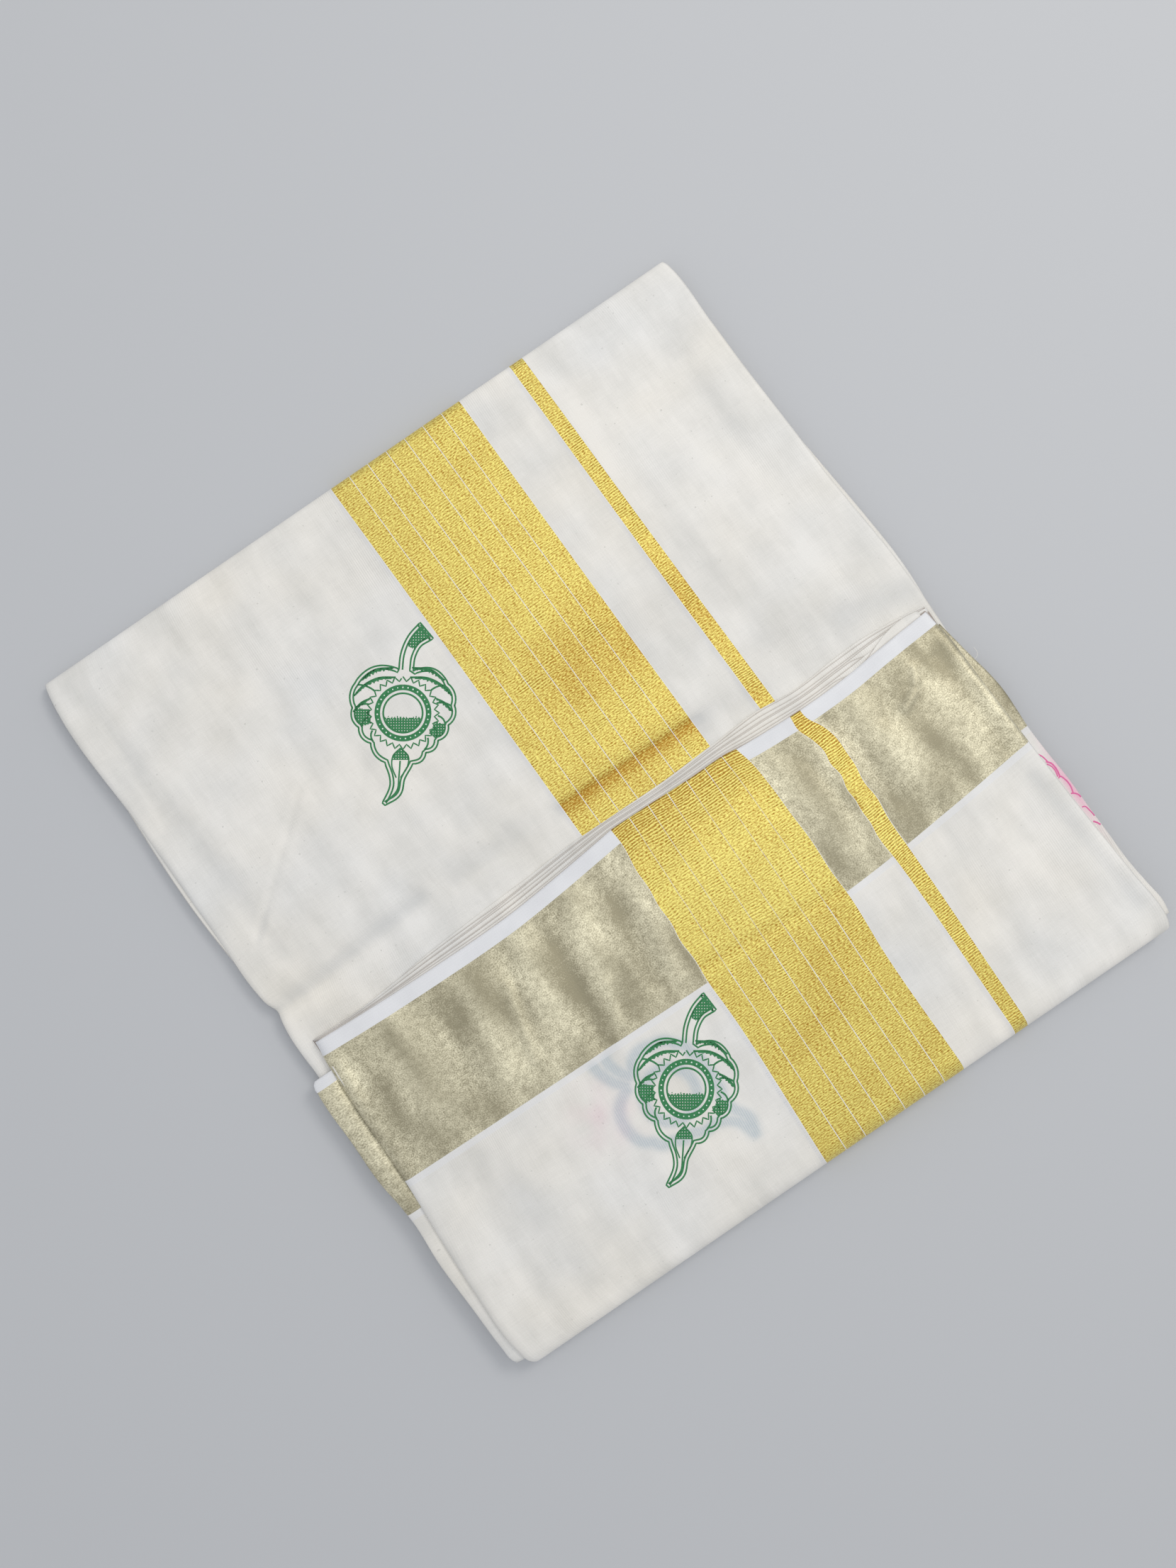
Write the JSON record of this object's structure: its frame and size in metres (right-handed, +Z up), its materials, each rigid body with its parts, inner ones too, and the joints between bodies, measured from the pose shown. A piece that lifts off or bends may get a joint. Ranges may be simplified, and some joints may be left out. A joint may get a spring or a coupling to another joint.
{
  "type": "folded saree",
  "caption": "Cotton saree in cream with gold thread bands, a pale tissue border and green leaf prints, folded flat into a nearly square packet with its lower third turned up.",
  "frame": {"origin": "middle of the flat underside of the folded packet", "axes": "+X along the length of the cloth, +Y towards the top fold, +Z up"},
  "size_m": [0.4051, 0.4209, 0.0167],
  "materials": {
    "cotton_cloth": "plain-woven cream cotton with gold thread bands",
    "tissue_border": "cotton woven with pale gold thread, softly shiny"
  },
  "bodies": {
    "root": {"underside_sheet": "cotton_cloth", "inner_plies": "cotton_cloth", "upper_face": "cotton_cloth", "flap_face": "cotton_cloth", "crease_ply_1": "cotton_cloth", "crease_ply_2": "cotton_cloth", "crease_ply_3": "cotton_cloth", "crease_ply_4": "cotton_cloth", "crease_ply_5": "cotton_cloth", "left_ply": "tissue_border", "right_ply": "tissue_border", "upper_right_ply": "cotton_cloth"}
  },
  "joints": []
}
